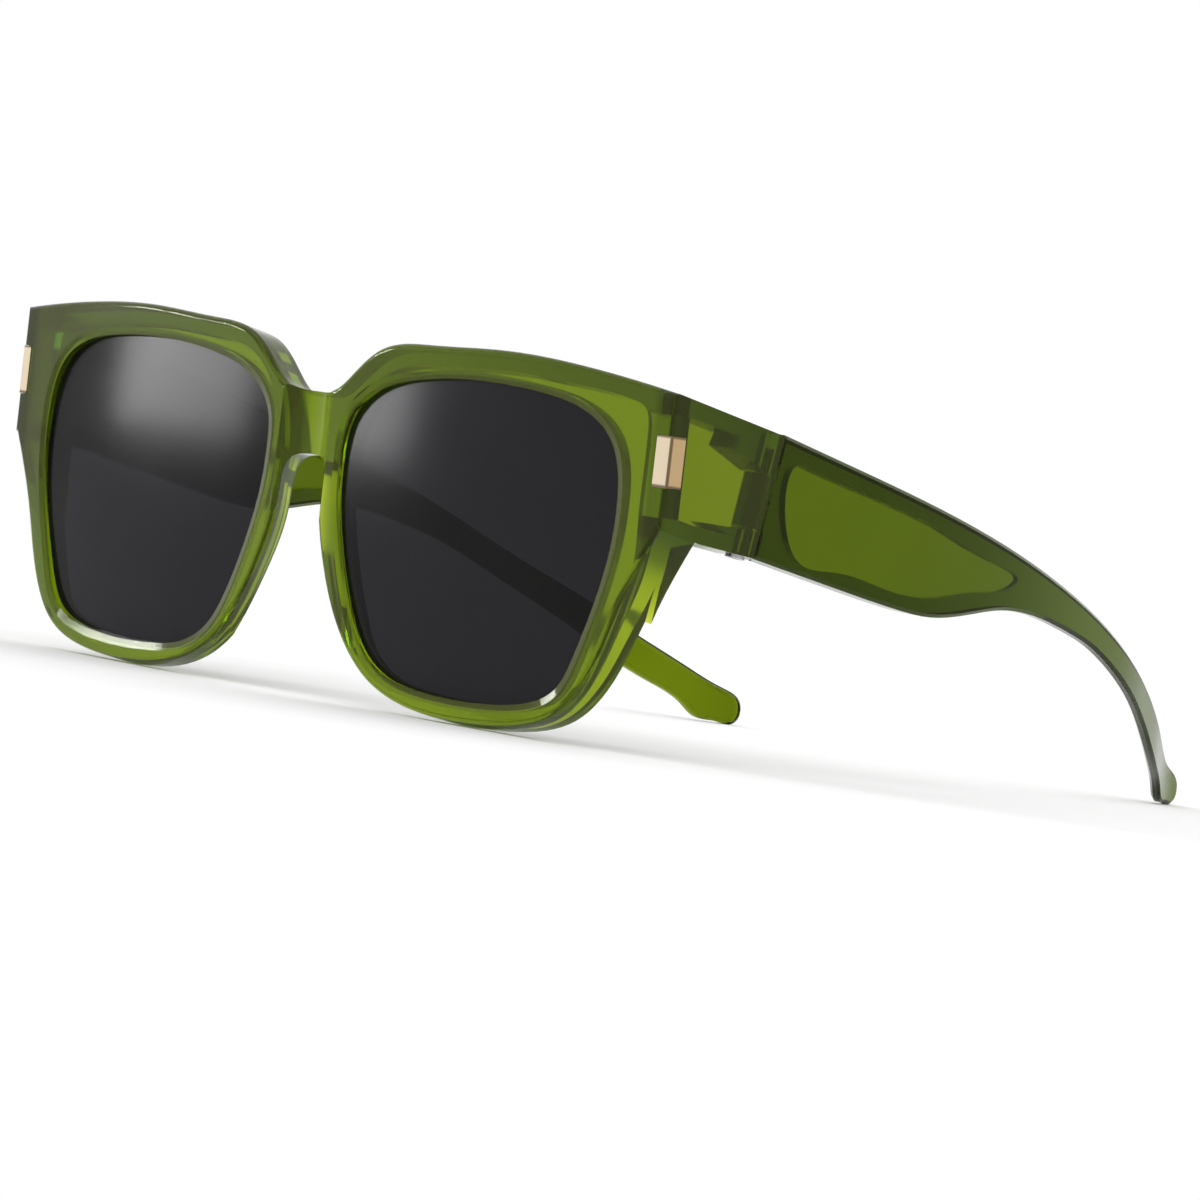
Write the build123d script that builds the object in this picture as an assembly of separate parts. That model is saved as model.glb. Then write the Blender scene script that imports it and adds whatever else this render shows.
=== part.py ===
from build123d import *
import os
from math import atan2, cos, degrees, radians, sin, sqrt, tan

# Fitover sunglasses standing on their rim bottoms and ear tips, in millimetres.
# The wearer's left is +X, the front faces -Y and the temples run back along +Y.
# Everything is drawn with the front upright, its front plane at y = 0 and the rim
# bottoms about z = 0, and the finished pieces are then leaned into the resting pose.

# Front: rims, brow and walls behind them
front_width = 150.0
front_height = 55.8
front_curve_radius = 620.0
plate_thickness = 3.9
wall_depth = 7.6
lower_wall_depth = 3.7
lower_back_radius = 390.0
lower_back_lean = 3.4
side_drop_angle = 12.0
outer_edge_radius = 0.8
lens_bevel_width = 1.2
lens_bevel_depth = 0.4

# Bridge and nose space
bridge_hollow_depth = 2.2
bridge_hollow_width = 11.6
nose_taper_angle = 24.0
nose_taper_start = 0.8
nose_overrun = 5.0

# Lenses
lens_width = 57.5
lens_height = 47.6
lens_centre_x = 37.4
lens_centre_z = 26.7
lens_curve_radius = 265.0
lens_thickness = 1.5
lens_setback = 0.2
lens_groove_depth = 0.9
lens_clearance = 0.1

# End pieces, from the corner ridge back to the hinge
end_piece_depth = 26.2
end_piece_width = 6.6
end_flare = 1.9
end_panel = 2.2
end_flange = 2.5
end_front_wall = 4.4
end_bottom_front = 32.45
end_bottom_back = 29.4

# Hinges, measured along the hinge axis from the end piece's bottom edge
hinge_tilt = 10.3
hinge_height = 18.8
hinge_inset = 4.4
knuckle_radius = 2.3
knuckle_clearance = 0.25
knuckle_low = 4.3
knuckle_high = 12.4
parting_gap = 0.2
ear_length = 7.6
upper_ear_slant = 2.0
lower_ear_slant = 0.9

# Hinge screws
screw_radius = 0.8
screw_push_fit = 0.02
screw_running_fit = 0.06
screw_reach = 16.2
screw_end_gap = 0.3
screw_head_radius = 1.5
screw_head_height = 0.8
screw_head_proud = 0.35
screw_slot_width = 0.45
screw_slot_depth = 0.35

# Corner trims
trim_height = 7.6
trim_front_leg = 2.3
trim_side_leg = 2.8
trim_thickness = 0.6
trim_proud = 0.15
trim_drop = 6.4
trim_clearance = 0.06
trim_fold_radius = 0.9

# Temples
temple_reach = 122.0
temple_drop = 54.1
temple_low = 6.2
temple_thickness = 4.4
temple_tuck = 27.6
temple_edge_bevel = 0.55
temple_panel = 2.3

overrun = 20.0
half_width = front_width / 2
ridge_y = front_curve_radius - sqrt(front_curve_radius ** 2 - half_width ** 2)
side_drop = tan(radians(side_drop_angle))
hinge_outer = half_width + end_flare
hinge_x = hinge_outer - hinge_inset
parting_y = end_piece_depth - hinge_height * sin(radians(hinge_tilt))

# Outlines as shares of the front's half width and height
brow_shares = [(0, 0.823), (0.067, 0.828), (0.125, 0.884), (0.195, 0.955), (0.34, 0.986), (0.54, 1.0),
               (0.76, 0.991), (1.0, 0.958), (1.055, 0.948)]
rim_shares = [(0.919, 0.395), (0.866, 0.212), (0.790, 0.080), (0.660, 0.018), (0.53, 0.003), (0.40, 0.011),
              (0.25, 0.078), (0.165, 0.187), (0.105, 0.330), (0.072, 0.460), (0.066, 0.545)]
ridge_foot_share = 0.995
arch_top_share = 0.632
pocket_shares = [(0.152, 0.842), (0.215, 0.915), (0.345, 0.944), (0.54, 0.958), (0.74, 0.950), (0.86, 0.937),
                 (0.903, 0.915), (0.913, 0.86), (0.913, 0.65), (0.909, 0.46), (0.874, 0.345), (0.835, 0.225),
                 (0.768, 0.108), (0.66, 0.050), (0.53, 0.043), (0.41, 0.045), (0.312, 0.066), (0.232, 0.131),
                 (0.190, 0.215), (0.150, 0.33), (0.120, 0.45), (0.107, 0.59), (0.112, 0.72)]
nose_shares = [(0.262, 0.03, 0.0), (0.175, 0.165, 0.5), (0.105, 0.330, 1.0), (0.072, 0.460, 1.0),
               (0.066, 0.545, 1.0)]
arch_rise_share = 0.5

# The lens opening as shares of the lens width and height about its centre
lens_shares = [(0.5, 0.16), (0.491, 0.02), (0.456, -0.155), (0.414, -0.301), (0.361, -0.417), (0.264, -0.473),
               (0.12, -0.496), (0.019, -0.5), (-0.11, -0.494), (-0.236, -0.468), (-0.335, -0.396),
               (-0.386, -0.308), (-0.431, -0.187), (-0.466, -0.063), (-0.491, 0.061), (-0.5, 0.2),
               (-0.486, 0.317), (-0.441, 0.386), (-0.37, 0.436), (-0.224, 0.478), (-0.078, 0.496),
               (0.066, 0.4975), (0.209, 0.487), (0.351, 0.453), (0.4525, 0.375), (0.4895, 0.282)]

# The temple from the side, as shares of its reach and drop, and from above, as shares of
# its reach, of how far the ear tip tucks in and of its thickness
temple_top_shares = [(0, 1.0), (0.277, 0.830), (0.429, 0.722), (0.530, 0.638), (0.605, 0.568), (0.677, 0.490),
                     (0.745, 0.414), (0.803, 0.347), (0.860, 0.268), (0.930, 0.175), (0.978, 0.117),
                     (1.012, 0.045)]
temple_tip_shares = (0.998, 0.0)
temple_bottom_shares = [(0.965, 0.008), (0.935, 0.050), (0.888, 0.115), (0.845, 0.172), (0.803, 0.238),
                        (0.765, 0.291), (0.720, 0.347), (0.668, 0.408), (0.628, 0.452), (0.593, 0.485),
                        (0.541, 0.520), (0.490, 0.549), (0.441, 0.567), (0.396, 0.571), (0.334, 0.552),
                        (0.266, 0.537), (0.213, 0.550), (0.113, 0.593), (-0.027, 0.658)]
temple_plan_shares = [(-0.08, 0.03, 1.0), (0, 0, 1.0), (0.277, -0.094, 0.93), (0.523, -0.014, 0.61),
                      (0.605, 0.058, 0.53), (0.670, 0.130, 0.5), (0.736, 0.243, 0.5), (0.793, 0.373, 0.5),
                      (0.859, 0.533, 0.5), (0.920, 0.714, 0.5), (0.975, 0.860, 0.5), (1.06, 0.93, 0.5)]
temple_pocket_shares = [(0.043, 0.920), (0.277, 0.778), (0.38, 0.700), (0.425, 0.655), (0.405, 0.628),
                        (0.36, 0.615), (0.300, 0.595), (0.252, 0.588), (0.195, 0.603), (0.113, 0.638),
                        (0.043, 0.675)]


def at_share(shares, width, height):
    return [Vector(across * width, 0, up * height) for across, up in shares]


def mirrored(points):
    return [Vector(-point.X, point.Y, point.Z) for point in reversed(points)]


def closed_face(*edges):
    return Face(Wire(edges))


def drawn_back(face, low, high):
    """The space a front outline sweeps from low to high in y, dropping as the brow does."""
    direction = Vector(0, 1, -side_drop)
    start = face.moved(Location(direction * low))
    return extrude(start, amount=(high - low) * direction.length, dir=direction.normalized())


def straight_back(face, low, high):
    return extrude(face.moved(Location((0, low, 0))), amount=high - low, dir=(0, 1, 0))


def behind_front(depth):
    """Everything further back than a depth behind the curved front."""
    return Pos(0, front_curve_radius, 0) * Cylinder(front_curve_radius - depth, 2 * (front_height + overrun))


def behind_lower_rims():
    """Everything between the end pieces that lies behind the rim walls, which grow shallower
    toward the nose and the bottom."""
    lean = radians(lower_back_lean)
    seat = Plane(origin=(0, lower_wall_depth + lower_back_radius, 0), x_dir=(1, 0, 0),
                 z_dir=(0, sin(lean), cos(lean)))
    height = 2 * (front_height + overrun)
    between = Box(2 * (half_width - end_piece_width), 2 * (end_piece_depth + overrun), height)
    return between & (seat * Cylinder(lower_back_radius, height))


def front_outline():
    brow = at_share(brow_shares, half_width, front_height)
    foot = Vector(half_width * ridge_foot_share, 0, end_bottom_front + side_drop * ridge_y)
    rim = [foot] + at_share(rim_shares, half_width, front_height)
    ear_corner = Vector(brow[-1].X, 0, foot.Z)
    arch_top = Vector(0, 0, arch_top_share * front_height)
    across = [
        Line(brow[-1], ear_corner),
        Line(ear_corner, foot),
        Spline(*rim, tangents=[(-0.55, 0, -1), (0, 0, 1)]),
    ]
    arch = Spline(rim[-1], arch_top, mirrored(rim)[0], tangents=[(0, 0, 1), (0, 0, -1)])
    other = [edge.mirror(Plane.YZ) for edge in across]
    top = Spline(*(mirrored(brow)[:-1] + brow))
    return closed_face(top, *across, arch, *other)


def lens_outline(grown=0.0):
    """A lens-shaped face; grown is how far it reaches past the opening all round."""
    centre = Vector(lens_centre_x, 0, lens_centre_z)
    points = at_share(lens_shares, lens_width + 2 * grown, lens_height + 2 * grown)
    return closed_face(Spline(*[point + centre for point in points], periodic=True))


def lens_shell(clearance):
    """The curved slice of space that a lens fills, standing clear of it by the clearance."""
    tilt = Vector(lens_centre_x, sqrt(front_curve_radius ** 2 - lens_centre_x ** 2), 0).normalized()
    inward = Vector(-tilt.X, tilt.Y, 0)
    surface = Vector(lens_centre_x, front_curve_radius * (1 - tilt.Y), lens_centre_z)
    centre = surface + inward * (lens_setback + lens_curve_radius)
    outline = straight_back(lens_outline(lens_groove_depth + clearance), -overrun, overrun)
    outer = Sphere(lens_curve_radius + clearance)
    inner = Sphere(lens_curve_radius - lens_thickness - clearance)
    return outline & (Pos(*centre) * (outer - inner))


def envelope(grown=0.0):
    """The plan of the front and its two flared sides, as tall as the part and more."""
    reach = end_piece_depth + overrun - ridge_y
    side = Vector(end_flare * reach / (end_piece_depth - ridge_y), reach, 0)
    outward = Vector(side.Y, -side.X, 0).normalized() * grown
    corner = Vector(half_width, ridge_y - grown, 0) + Vector(outward.X, 0, 0)
    back = Vector(half_width, ridge_y, 0) + side + outward
    arc = ThreePointArc(mirrored([corner])[0], Vector(0, -grown, 0), corner)
    plan = closed_face(arc, Line(corner, back), Line(back, mirrored([back])[0]),
                       Line(mirrored([back])[0], mirrored([corner])[0]))
    height = front_height + 2 * overrun
    return extrude(plan.moved(Location((0, 0, -overrun))), amount=height, dir=(0, 0, 1))


def at_hinge(along, back):
    """A point of the side view, along the hinge axis from its foot and square back from it."""
    tilt = radians(hinge_tilt)
    return Vector(0, parting_y + along * sin(tilt) + back * cos(tilt),
                  end_bottom_back + along * cos(tilt) - back * sin(tilt))


def side_prism(points, low, high):
    """A side view polygon carried from low to high in x."""
    face = make_face(Polyline(*points, close=True))
    return extrude(face.moved(Location((low, 0, 0))), amount=high - low, dir=(1, 0, 0))


def rod(radius, low, high):
    """A round bar on the left hinge axis."""
    tilt = radians(hinge_tilt)
    foot = at_hinge(low, 0) + Vector(hinge_x, 0, 0)
    seat = Plane(origin=foot, x_dir=(1, 0, 0), z_dir=(0, sin(tilt), cos(tilt)))
    return seat * Cylinder(radius, high - low, align=(Align.CENTER, Align.CENTER, Align.MIN))


def panel_x(y):
    return half_width + end_flare * (y - ridge_y) / (end_piece_depth - ridge_y)


def end_bottom_knee():
    """Where the end piece's bottom edge leaves the slope of the rim walls."""
    return Vector(0, ridge_y + wall_depth, end_bottom_front - side_drop * wall_depth)


def end_piece_space():
    """The side view of the left end piece, from the front to the parting plane."""
    face_line = -parting_gap / 2
    front_y = ridge_y + 2 * outer_edge_radius
    points = [
        Vector(0, front_y, end_bottom_front + side_drop * (ridge_y - front_y)),
        end_bottom_knee(),
        at_hinge(0, face_line),
        at_hinge(hinge_height + overrun, face_line),
        Vector(0, front_y, front_height + overrun),
    ]
    return side_prism(points, half_width - end_piece_width, hinge_outer + overrun)


def end_piece_pocket():
    """The hollow inside the left end piece, open inward and back, round the two hinge ears."""
    front_y = ridge_y + end_front_wall
    slope = Vector(0, 1, -side_drop)
    top_start = Vector(0, front_y, brow_shares[-2][1] * front_height - side_drop * front_y - end_flange)
    ear_face = at_hinge(hinge_height, -ear_length)
    top_end = top_start + slope * (ear_face.Y - front_y)
    flange = Vector(0, 0, end_flange)
    knee = end_bottom_knee()
    low_front = Vector(0, front_y, knee.Z + side_drop * (knee.Y - front_y))
    low_back = knee + (at_hinge(0, 0) - knee) * ((ear_face.Y - knee.Y) / (parting_y - knee.Y))
    points = [
        top_start,
        top_end,
        at_hinge(knuckle_high + knuckle_clearance + upper_ear_slant, -ear_length),
        at_hinge(knuckle_high + knuckle_clearance, 0),
        at_hinge(knuckle_high + knuckle_clearance, overrun),
        at_hinge(knuckle_low - knuckle_clearance, overrun),
        at_hinge(knuckle_low - knuckle_clearance, 0),
        at_hinge(knuckle_low - knuckle_clearance - lower_ear_slant, -ear_length),
        low_back + flange,
        knee + flange,
        low_front + flange,
    ]
    side = side_prism(points, 0, hinge_outer)
    plan = [
        Vector(half_width - end_piece_width - end_panel, 0, 0),
        Vector(panel_x(0) - end_panel, 0, 0),
        Vector(panel_x(end_piece_depth + overrun) - end_panel, end_piece_depth + overrun, 0),
        Vector(half_width - end_piece_width - end_panel, end_piece_depth + overrun, 0),
    ]
    return side & extrude(make_face(Polyline(*plan, close=True)), amount=front_height, dir=(0, 0, 1))


def hinge_bores():
    lower_ear = knuckle_low - knuckle_clearance
    push = screw_radius + screw_push_fit
    head = rod(screw_head_radius + screw_push_fit, -overrun, screw_head_height - screw_head_proud)
    return [rod(push, -overrun, lower_ear), head, rod(push, lower_ear, screw_reach + screw_end_gap)]


def nose_section(y):
    """The outline of the space for the nose at one depth; its walls spread as it goes back."""
    spread = (y - nose_taper_start) * tan(radians(nose_taper_angle))
    points = [Vector(across * half_width + weight * spread, y, up * front_height - side_drop * y)
              for across, up, weight in nose_shares]
    arch_z = arch_top_share * front_height - side_drop * y + arch_rise_share * max(spread, 0)
    other = mirrored(points)
    arch = Spline(points[-1], Vector(0, y, arch_z), other[0], tangents=[(0, 0, 1), (0, 0, -1)])
    return Wire([Spline(*points), arch, Spline(*other), Line(other[-1], points[0])])


def nose_space():
    return Solid.make_loft([nose_section(-nose_overrun), nose_section(wall_depth + nose_overrun)], ruled=True)


def bridge_hollow():
    """The upright round hollow between the rims' flat faces."""
    radius = (bridge_hollow_width ** 2 / 4 + bridge_hollow_depth ** 2) / (2 * bridge_hollow_depth)
    return Pos(0, bridge_hollow_depth - radius, 0) * Cylinder(radius, 2 * (front_height + overrun))


def trim_block(clearance):
    """The plan and height of the left corner trim, with a clearance round it."""
    top = brow_shares[-2][1] * front_height - side_drop * ridge_y - trim_drop
    low = Vector(half_width - trim_front_leg - clearance, -overrun, top - trim_height - clearance)
    high = Vector(hinge_outer + overrun, ridge_y + trim_side_leg + clearance, top + clearance)
    size = high - low
    return Pos(*((low + high) / 2)) * Box(size.X, size.Y, size.Z)


def corner_trim():
    """A strip of metal folded round the left corner, sunk in its recess."""
    metal = trim_block(0) & (envelope(trim_proud) - envelope(trim_proud - trim_thickness))
    ridge = Vector(half_width, ridge_y, 0)
    upright = metal.edges().filter_by(Axis.Z)
    folds = sorted(upright, key=lambda edge: (edge.center() - ridge - Vector(0, 0, edge.center().Z)).length)
    inner, outer = sorted(folds[:2], key=lambda edge: edge.center().X)
    folded = fillet(outer, trim_fold_radius)
    inner_again = min(folded.edges().filter_by(Axis.Z), key=lambda edge: (edge.center() - inner.center()).length)
    return fillet(inner_again, trim_fold_radius - trim_thickness)


def both_sides(shape):
    return [shape, mirror(shape, about=Plane.YZ)]


def cut_all(body, tools):
    for tool in tools:
        for piece in both_sides(tool):
            body = body - piece
    return body


def frame_front():
    """The moulded front with both end pieces and their hinge ears, in one piece."""
    blank = drawn_back(front_outline(), -overrun, end_piece_depth + overrun) & envelope()
    body = blank & (behind_front(0) - behind_front(wall_depth))
    front_face = body.faces().filter_by(GeomType.CYLINDER).sort_by(Axis.Y)[0]
    body = fillet(front_face.outer_wire().edges(), outer_edge_radius)
    for space in both_sides(end_piece_space()):
        body += blank & space
    opening = straight_back(lens_outline(), -overrun, overrun)
    body = cut_all(body, [opening])
    front_face = body.faces().filter_by(GeomType.CYLINDER).sort_by(Axis.Y)[0]
    rims = [wire.edges()[0] for wire in front_face.inner_wires()]
    body = chamfer(rims, lens_bevel_width, lens_bevel_depth, reference=front_face)
    pocket = closed_face(Spline(*at_share(pocket_shares, half_width, front_height), periodic=True))
    pocket_space = drawn_back(pocket, -overrun, wall_depth + overrun) & behind_front(plate_thickness)
    relief = rod(knuckle_radius + knuckle_clearance, knuckle_low - knuckle_clearance,
                 knuckle_high + knuckle_clearance)
    body = cut_all(body, [lens_shell(lens_clearance), pocket_space, end_piece_pocket(), relief])
    body = body - bridge_hollow() - nose_space() - behind_lower_rims()
    ears = [rod(knuckle_radius, 0, knuckle_low - knuckle_clearance),
            rod(knuckle_radius, knuckle_high + knuckle_clearance, hinge_height)]
    for ear in ears:
        for piece in both_sides(ear):
            body += piece
    recess = trim_block(trim_clearance) - envelope(trim_proud - trim_thickness - trim_clearance)
    return cut_all(body, hinge_bores() + [recess])


def temple_plan(inner_shift, outer_shift):
    """A band of the temple's plan inside its outer face; the inner line follows its thinning."""
    points = [Vector(hinge_outer - inward * temple_tuck, end_piece_depth + along * temple_reach, 0)
              for along, inward, thickness in temple_plan_shares]
    thinned = [point - Vector(inner_shift * shares[2], 0, 0)
               for point, shares in zip(points, temple_plan_shares)]
    outer = Spline(*points).moved(Location((-outer_shift, 0, 0)))
    inner = Spline(*thinned)
    plan = closed_face(outer, Line(outer @ 1, inner @ 1), inner, Line(inner @ 0, outer @ 0))
    low = Location((0, 0, -temple_low - overrun))
    return extrude(plan.moved(low), amount=temple_drop + 2 * overrun, dir=(0, 0, 1))


def temple_points(shares):
    return [Vector(0, end_piece_depth + along * temple_reach, up * temple_drop - temple_low)
            for along, up in shares]


def through_temple(face):
    return extrude(face, amount=hinge_outer + overrun, dir=(1, 0, 0))


def left_temple():
    """The temple with its ear hook, its inner hollow and its one hinge knuckle."""
    top = temple_points(temple_top_shares)
    bottom = temple_points(temple_bottom_shares)
    tip = temple_points([temple_tip_shares])[0]
    upper = Spline(*top, tangents=[top[1] - top[0], (0, 0, -1)])
    lower = Spline(*bottom, tangents=[(0, -1, 0), bottom[-1] - bottom[-2]])
    end = Spline(top[-1], tip, bottom[0], tangents=[(0, 0, -1), (0, -1, 0)])
    profile = closed_face(upper, end, lower, Line(bottom[-1], top[0]))
    arm = through_temple(profile) & temple_plan(temple_thickness, 0)
    curved = [edge for edge in arm.edges() if edge.geom_type != GeomType.LINE]
    arm = chamfer([edge for edge in curved if edge.center().Y > end_piece_depth], temple_edge_bevel)
    hollow = closed_face(Spline(*temple_points(temple_pocket_shares), periodic=True))
    arm -= through_temple(hollow) & temple_plan(temple_thickness + overrun, temple_panel)
    arm -= side_prism([at_hinge(-overrun, parting_gap / 2), at_hinge(hinge_height + overrun, parting_gap / 2),
                       at_hinge(hinge_height + overrun, -overrun), at_hinge(-overrun, -overrun)], 0,
                      hinge_outer + overrun)
    relief = knuckle_radius + knuckle_clearance
    arm -= rod(relief, -overrun, knuckle_low)
    arm -= rod(relief, knuckle_high, hinge_height + overrun)
    arm += rod(knuckle_radius, knuckle_low, knuckle_high)
    return arm - rod(screw_radius + screw_running_fit, 0, hinge_height)


def left_hinge_screw():
    """A slotted screw up through the hinge, its head in the end piece's underside."""
    screw = rod(screw_radius, 0, screw_reach)
    screw += rod(screw_head_radius, -screw_head_proud, screw_head_height - screw_head_proud)
    slot = side_prism([at_hinge(-overrun, -knuckle_radius), at_hinge(-overrun, knuckle_radius),
                       at_hinge(screw_slot_depth - screw_head_proud, knuckle_radius),
                       at_hinge(screw_slot_depth - screw_head_proud, -knuckle_radius)],
                      hinge_x - screw_slot_width / 2, hinge_x + screw_slot_width / 2)
    return screw - slot


def resting_lean(front, temple):
    """The lean, in degrees, that sets the rim bottoms and the ear tips on one level."""
    lean = 0
    for _ in range(4):
        rim_low = (Rot(X=lean) * front).bounding_box().min.Z
        tip_low = (Rot(X=lean) * temple).bounding_box().min.Z
        lean += degrees(atan2(rim_low - tip_low, temple_reach + end_piece_depth - wall_depth))
    return lean


def main():
    left = {
        "left_lens": lens_shell(0),
        "left_temple": left_temple(),
        "left_hinge_screw": left_hinge_screw(),
        "left_corner_trim": corner_trim(),
    }
    pieces = {"frame_front": frame_front()}
    for name, piece in left.items():
        pieces[name] = piece
        pieces[name.replace("left", "right")] = mirror(piece, about=Plane.YZ)
    lean = resting_lean(pieces["frame_front"], pieces["left_temple"])
    leaned = {name: Rot(X=lean) * piece for name, piece in pieces.items()}
    boxes = [piece.bounding_box() for piece in leaned.values()]
    front_y = min(box.min.Y for box in boxes)
    back_y = max(box.max.Y for box in boxes)
    floor_z = min(box.min.Z for box in boxes)
    to_rest = Pos(0, -(front_y + back_y) / 2, -floor_z)
    os.makedirs("parts", exist_ok=True)
    for name, piece in leaned.items():
        export_step(to_rest * piece, f"parts/{name}.step")
    print("lean", round(lean, 3), "depth", round(back_y - front_y, 2), "drop", round(floor_z, 3))


if __name__ == "__main__":
    main()
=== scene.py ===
from math import cos, radians, sin

import bmesh
import bpy
from mathutils import Matrix, Vector

# Fitover sunglasses: clear green moulded frame, dark grey lenses, gold corner trims.
# Places and sizes are in metres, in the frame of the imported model.
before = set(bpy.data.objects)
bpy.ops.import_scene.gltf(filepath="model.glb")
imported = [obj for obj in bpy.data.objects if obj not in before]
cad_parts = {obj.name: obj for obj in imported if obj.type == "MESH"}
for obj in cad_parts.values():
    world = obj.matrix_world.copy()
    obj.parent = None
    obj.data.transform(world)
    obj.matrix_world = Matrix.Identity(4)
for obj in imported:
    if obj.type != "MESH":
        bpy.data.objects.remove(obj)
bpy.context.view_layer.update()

# Camera: it looks along the azimuth from the wearer's left, a little down, and leans over
camera_azimuth = 46.301
camera_fall = 1.2
camera_roll = -8.222
camera_distance = 1.1359
camera_aim = Vector((-0.00426, -0.00471, 0.01986))
camera_lens_mm = 214.04
camera_sensor_mm = 36.0

# Studio: each lamp has a place, a size and a brightness; all point at the glasses
lamp_aim = Vector((0.0, 0.0, 0.03))
side_softbox = {"place": (-1.0, -0.77, 0.2), "size": 0.34, "power": 6.5}
top_softbox = {"place": (0.1, -0.1, 1.25), "size": 1.3, "power": 1.5}
sky_strength = 1.0
floor_reach = 20.0
floor_white = 0.95
floor_kept_until = 0.25
floor_faded_at = 0.7

# Clear green plastic: written in the linear colours that a plate passes and shows
frame_green = {"tint": (0.58, 0.68, 0.06, 1.0), "tint_pale": (0.69, 0.78, 0.10, 1.0), "clearness": 0.945,
               "passes": (0.69, 0.75, 0.0, 1.0), "density": 1200.0, "sheen": (0.3, 0.34, 0.2, 1.0)}
temple_green = {"tint": (0.40, 0.50, 0.03, 1.0), "tint_pale": (0.46, 0.56, 0.06, 1.0), "clearness": 0.97,
                "passes": (0.56, 0.62, 0.0, 1.0), "density": 1500.0, "sheen": (0.08, 0.1, 0.04, 1.0)}

# Painted shade: the end pieces of the front, this far out from the middle, are multiplied to a darker
# colour to stand in for the shade they show
end_piece_painted_shade = (0.55, 0.57, 0.5, 1.0)
end_piece_from = (0.0712, 0.0724)
green_ior = 1.5
green_shadow = (0.35, 0.45, 0.15, 1.0)

# Dark lens: what passes each of its two faces, and the grey seen on it
lens_passes = (0.11, 0.108, 0.112, 1.0)
lens_grey = (0.003, 0.0026, 0.004, 1.0)
lens_grey_pale = (0.0045, 0.004, 0.0055, 1.0)
lens_ior = 1.32
lens_sheen = 0.15

# Gold trims, in linear light: the front strip is pale with a painted highlight, the side strip deeper with
# painted shade; both are the same gold
# A painted shade line follows the fold between them and runs round the top and bottom ends
gold_front_painted_highlight = (0.76, 0.63, 0.46, 1.0)
gold_side_painted_shade = (0.52, 0.36, 0.19, 1.0)
gold_fold_painted_shade = (0.10, 0.07, 0.04, 1.0)
# How dark the painted shade line along the fold and ends is
fold_shade_strength = 0.85
trim_fold_y = -0.0709
trim_lean = 0.0376
trim_middle_z = 0.0432
trim_half_height = 0.0036
trim_end_line = 0.0003
fold_blend = 0.0001
fold_line = (0.0003, 0.0005)

# Hinge screws
steel = (0.50, 0.50, 0.52, 1.0)
steel_bright = (0.62, 0.62, 0.62, 1.0)

# Grain of each finish: cells per metre, then the least roughness and how much more the rest has
green_cloud_cells = 90.0
green_grain_cells = 1600.0
green_polish = {"least": 0.05, "more": 0.04}
green_bump = {"strength": 0.015, "depth": 0.00005}
lens_haze_cells = 60.0
lens_polish = {"least": 0.13, "more": 0.04}
gold_brush_cells = 1400.0
gold_cloud_cells = 220.0
gold_polish = {"least": 0.07, "more": 0.05}
gold_bump = {"strength": 0.03, "depth": 0.00005}
gold_metallic = {"least": 0.9, "more": 0.1}
steel_turning_cells = 2200.0
steel_polish = {"least": 0.2, "more": 0.15}
steel_bump = {"strength": 0.1, "depth": 0.00005}
paper_cells = 40.0
paper_polish = {"least": 0.85, "more": 0.1}
along_the_height = (1, 1, 0.05)
along_the_screw = (1, 1, 0.2)

white = (1.0, 1.0, 1.0, 1.0)


class Value:
    """A number that varies over a surface. Sums on it add the maths nodes they need."""

    def __init__(self, finish, socket):
        self.finish = finish
        self.socket = socket

    def joined(self, operation, first, second):
        plain = [item.socket if isinstance(item, Value) else item for item in (first, second)]
        made = self.finish.node("ShaderNodeMath", {"operation": operation}, {0: plain[0], 1: plain[1]})
        return Value(self.finish, made.outputs[0])

    def __add__(self, other):
        return self.joined("ADD", self, other)

    __radd__ = __add__

    def __sub__(self, other):
        return self.joined("SUBTRACT", self, other)

    def __rsub__(self, other):
        return self.joined("SUBTRACT", other, self)

    def __mul__(self, other):
        return self.joined("MULTIPLY", self, other)

    __rmul__ = __mul__

    def larger(self, other):
        return self.joined("MAXIMUM", self, other)

    def size(self):
        """The value without its sign."""
        return self.larger(0 - self)

    def spread(self, least, more):
        return self * more + least

    def ramp(self, low, high):
        """0 at the low end and 1 at the high end, and level beyond them."""
        ends = {"Value": self, "From Min": low, "From Max": high}
        return Value(self.finish, self.finish.node("ShaderNodeMapRange", {}, ends).outputs[0])


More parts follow.
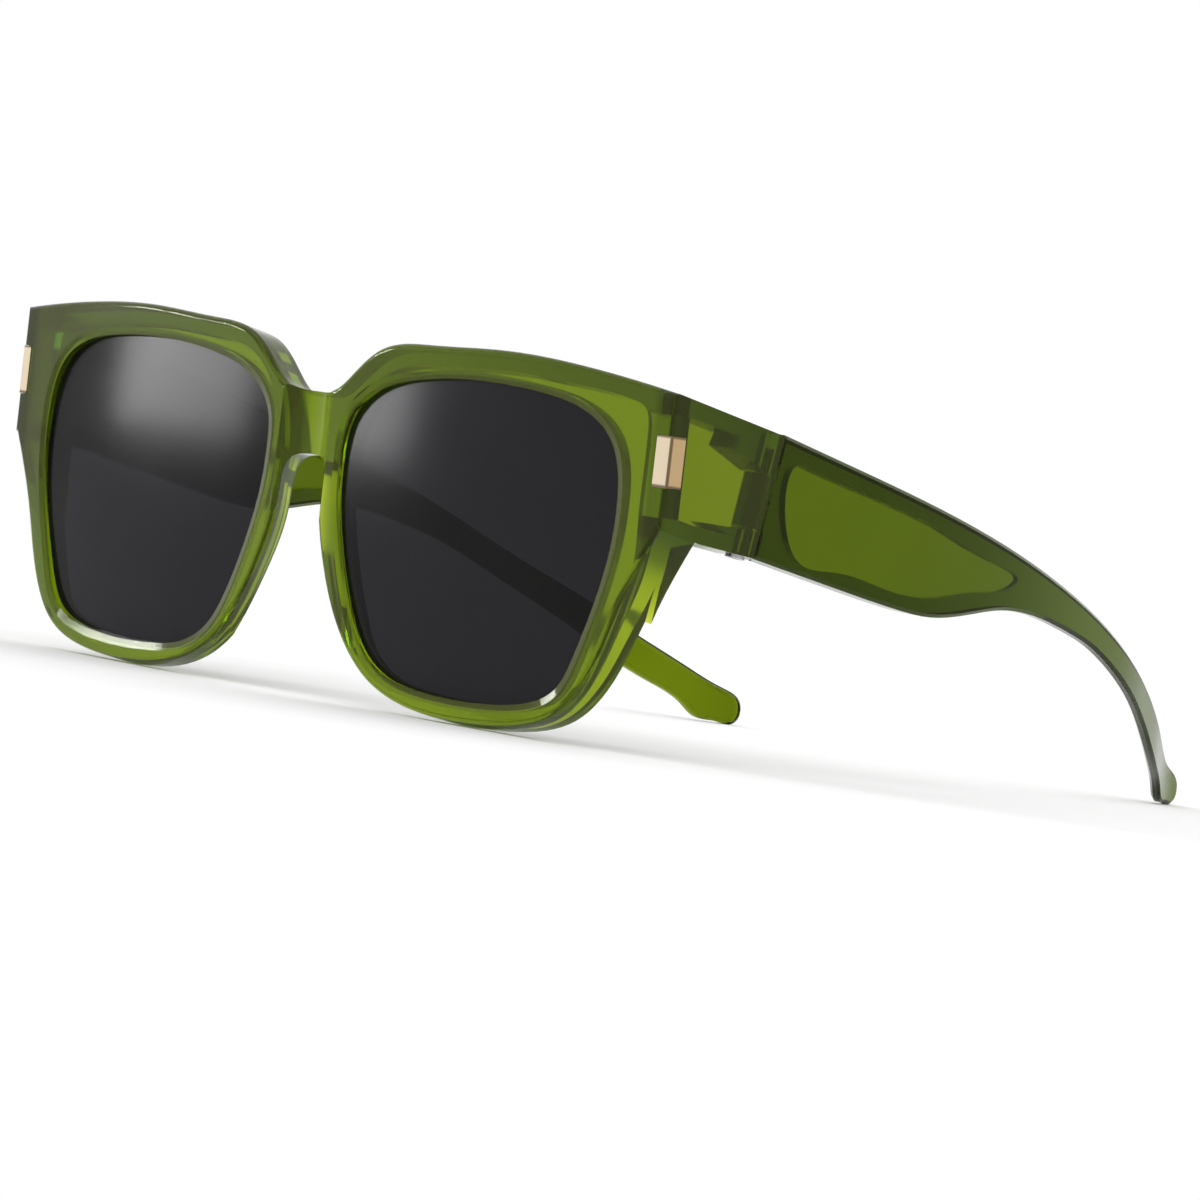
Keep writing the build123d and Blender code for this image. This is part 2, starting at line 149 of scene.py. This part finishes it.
class Finish:
    """A node material of the glasses, or the world, built from single nodes."""

    def __init__(self, name, owner=None):
        self.owner = owner or bpy.data.materials.new(name)
        self.owner.use_nodes = True
        self.tree = self.owner.node_tree
        self.tree.nodes.clear()

    def node(self, kind, settings=None, inputs=None):
        made = self.tree.nodes.new(kind)
        for name, setting in (settings or {}).items():
            setattr(made, name, setting)
        for name, given in (inputs or {}).items():
            given = given.socket if isinstance(given, Value) else given
            if isinstance(given, bpy.types.NodeSocket):
                self.tree.links.new(given, made.inputs[name])
            else:
                made.inputs[name].default_value = given
        return made

    def place(self):
        return self.node("ShaderNodeTexCoord").outputs["Object"]

    def along(self, axis):
        """How far along X, Y or Z each point of the surface is."""
        parts = self.node("ShaderNodeSeparateXYZ", {}, {"Vector": self.place()})
        return Value(self, parts.outputs[axis])

    def noise(self, scale, detail=3.0, stretch=(1, 1, 1)):
        """Cloudy variation from 0 to 1, with cells about one over the scale across."""
        turned = self.node("ShaderNodeMapping", {}, {"Vector": self.place(), "Scale": stretch})
        pattern = {"Vector": turned.outputs[0], "Scale": scale, "Detail": detail}
        return Value(self, self.node("ShaderNodeTexNoise", {}, pattern).outputs["Fac"])

    def between(self, factor, low, high, blend="MIX"):
        """The low colour where the factor is 0 and the high one, or the two blended, where it is 1."""
        kind = {"data_type": "RGBA", "blend_type": blend}
        return self.node("ShaderNodeMix", kind, {"Factor": factor, 6: low, 7: high}).outputs[2]

    def bump(self, height, strength, depth):
        made = self.node("ShaderNodeBump", {}, {"Height": height, "Strength": strength, "Distance": depth})
        return made.outputs[0]

    def close(self, surface, volume=None):
        made = self.node("ShaderNodeOutputMaterial", {}, {"Surface": surface})
        if volume is not None:
            self.tree.links.new(volume, made.inputs["Volume"])
        return self.owner


def clear_green(name, tint, tint_pale, clearness, passes, density, sheen, painted_end_shade=None):
    """Moulded green plastic, clear inside, that darkens where more of it is looked through."""
    finish = Finish(name)
    cloud = finish.noise(green_cloud_cells, 4.0)
    grain = finish.noise(green_grain_cells)
    body = finish.between(cloud, tint, tint_pale)
    # Painted shade: the end pieces far out from the middle are multiplied darker
    if painted_end_shade:
        far_out = finish.along("X").size().ramp(*end_piece_from)
        body = finish.between(far_out, body, painted_end_shade, "MULTIPLY")
    plastic = finish.node("ShaderNodeBsdfPrincipled", {}, {
        "Base Color": body,
        "Roughness": grain.spread(**green_polish),
        "IOR": green_ior,
        "Transmission Weight": clearness,
        "Specular Tint": sheen,
        "Normal": finish.bump(grain, **green_bump),
    })
    passed = finish.node("ShaderNodeBsdfTransparent", {}, {"Color": green_shadow})
    in_shadow = finish.node("ShaderNodeLightPath").outputs["Is Shadow Ray"]
    layers = {0: in_shadow, 1: plastic.outputs[0], 2: passed.outputs[0]}
    shown = finish.node("ShaderNodeMixShader", {}, layers)
    depth = finish.node("ShaderNodeVolumeAbsorption", {}, {"Color": passes, "Density": density})
    return finish.close(shown.outputs[0], depth.outputs[0])


def grey_lens():
    """Dark grey polarised lens: a little light comes through, a soft sheen lies on top."""
    finish = Finish("dark_grey_lens")
    haze = finish.noise(lens_haze_cells, 2.0)
    passed = finish.node("ShaderNodeBsdfTransparent", {}, {"Color": lens_passes})
    gloss = finish.node("ShaderNodeBsdfPrincipled", {}, {
        "Base Color": finish.between(haze, lens_grey, lens_grey_pale),
        "Roughness": haze.spread(**lens_polish),
        "IOR": lens_ior,
        "Specular IOR Level": lens_sheen,
    })
    shown = finish.node("ShaderNodeAddShader", {}, {0: gloss.outputs[0], 1: passed.outputs[0]})
    return finish.close(shown.outputs[0])


def gold_metal():
    """Champagne gold strip folded round the corner, finely brushed along its height."""
    finish = Finish("champagne_gold")
    brushed = finish.noise(gold_brush_cells, 2.0, along_the_height)
    warm = finish.noise(gold_cloud_cells)
    above_middle = finish.along("Z") - trim_middle_z
    behind_fold = finish.along("Y") + above_middle * trim_lean - trim_fold_y
    # Painted highlight on the front strip and painted shade on the side strip, split at the fold
    body = finish.between(behind_fold.ramp(-fold_blend, fold_blend), gold_front_painted_highlight, gold_side_painted_shade)
    # Painted shade along the fold and round the top and bottom ends of the trim
    fold = behind_fold.ramp(-fold_blend, 0.0) - behind_fold.ramp(*fold_line)
    ends = above_middle.size().ramp(trim_half_height - trim_end_line, trim_half_height)
    body = finish.between(fold.larger(ends) * fold_shade_strength, body, gold_fold_painted_shade)
    metal = finish.node("ShaderNodeBsdfPrincipled", {}, {
        "Base Color": body,
        "Metallic": warm.spread(**gold_metallic),
        "Roughness": brushed.spread(**gold_polish),
        "Normal": finish.bump(brushed, **gold_bump),
    })
    return finish.close(metal.outputs[0])


def bright_steel():
    """Turned steel of the hinge screws."""
    finish = Finish("screw_steel")
    turned = finish.noise(steel_turning_cells, 2.0, along_the_screw)
    metal = finish.node("ShaderNodeBsdfPrincipled", {}, {
        "Base Color": finish.between(turned, steel, steel_bright),
        "Metallic": 1.0,
        "Roughness": turned.spread(**steel_polish),
        "Normal": finish.bump(turned, **steel_bump),
    })
    return finish.close(metal.outputs[0])


def dress(material, *nodes):
    for node in nodes:
        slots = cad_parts[node].data.materials
        slots.clear()
        slots.append(material)


def floor():
    mesh = bmesh.new()
    bmesh.ops.create_grid(mesh, x_segments=1, y_segments=1, size=floor_reach)
    data = bpy.data.meshes.new("floor")
    mesh.to_mesh(data)
    mesh.free()
    plane = bpy.data.objects.new("floor", data)
    bpy.context.scene.collection.objects.link(plane)
    finish = Finish("white_paper")
    paper = finish.noise(paper_cells)
    far = finish.node("ShaderNodeVectorMath", {"operation": "LENGTH"}, {0: finish.place()})
    faded = Value(finish, far.outputs["Value"]).ramp(floor_kept_until, floor_faded_at)
    surface = finish.node("ShaderNodeBsdfPrincipled", {}, {
        "Base Color": (floor_white, floor_white, floor_white, 1.0),
        "Roughness": paper.spread(**paper_polish),
        "Specular IOR Level": 0.0,
    })
    backdrop = finish.node("ShaderNodeEmission", {}, {"Color": white, "Strength": 1.0})
    layers = {0: faded, 1: surface.outputs[0], 2: backdrop.outputs[0]}
    data.materials.append(finish.close(finish.node("ShaderNodeMixShader", {}, layers).outputs[0]))


def softbox(name, place, size, power):
    lamp = bpy.data.lights.new(name, "AREA")
    lamp.shape = "SQUARE"
    lamp.size = size
    lamp.energy = power
    holder = bpy.data.objects.new(name, lamp)
    holder.location = place
    holder.rotation_euler = (lamp_aim - Vector(place)).to_track_quat("-Z", "Y").to_euler()
    bpy.context.scene.collection.objects.link(holder)


def white_world():
    """Soft light for the object, and plain white where the background is looked at."""
    world = bpy.data.worlds.new("studio")
    bpy.context.scene.world = world
    finish = Finish("studio", world)
    rays = finish.node("ShaderNodeLightPath")
    seen = Value(finish, rays.outputs["Is Camera Ray"]).larger(Value(finish, rays.outputs["Is Glossy Ray"]))
    seen = seen.larger(Value(finish, rays.outputs["Is Transmission Ray"]))
    light = finish.node("ShaderNodeBackground", {}, {"Color": white, "Strength": sky_strength})
    backdrop = finish.node("ShaderNodeBackground", {}, {"Color": white, "Strength": 1.0})
    both = finish.node("ShaderNodeMixShader", {}, {0: seen, 1: light.outputs[0], 2: backdrop.outputs[0]})
    finish.node("ShaderNodeOutputWorld", {}, {"Surface": both.outputs[0]})


def camera():
    azimuth = radians(camera_azimuth)
    fall = radians(camera_fall)
    roll = radians(camera_roll)
    forward = Vector((-sin(azimuth) * cos(fall), cos(azimuth) * cos(fall), -sin(fall)))
    level_right = forward.cross(Vector((0, 0, 1))).normalized()
    level_up = level_right.cross(forward)
    up = level_up * cos(roll) + level_right * sin(roll)
    right = forward.cross(up)
    data = bpy.data.cameras.new("camera")
    data.lens = camera_lens_mm
    data.sensor_fit = "HORIZONTAL"
    data.sensor_width = camera_sensor_mm
    data.clip_end = floor_reach * 3
    holder = bpy.data.objects.new("camera", data)
    turned = Matrix((right, up, -forward)).transposed().to_4x4()
    holder.matrix_world = Matrix.Translation(camera_aim - forward * camera_distance) @ turned
    bpy.context.scene.collection.objects.link(holder)
    bpy.context.scene.camera = holder


dress(clear_green("frame_green_plastic", **frame_green, painted_end_shade=end_piece_painted_shade), "frame_front")
dress(clear_green("temple_green_plastic", **temple_green), "left_temple", "right_temple")
dress(grey_lens(), "left_lens", "right_lens")
dress(gold_metal(), "left_corner_trim", "right_corner_trim")
dress(bright_steel(), "left_hinge_screw", "right_hinge_screw")
floor()
softbox("side_softbox", **side_softbox)
softbox("top_softbox", **top_softbox)
white_world()
camera()
bpy.context.scene.view_settings.view_transform = "Standard"
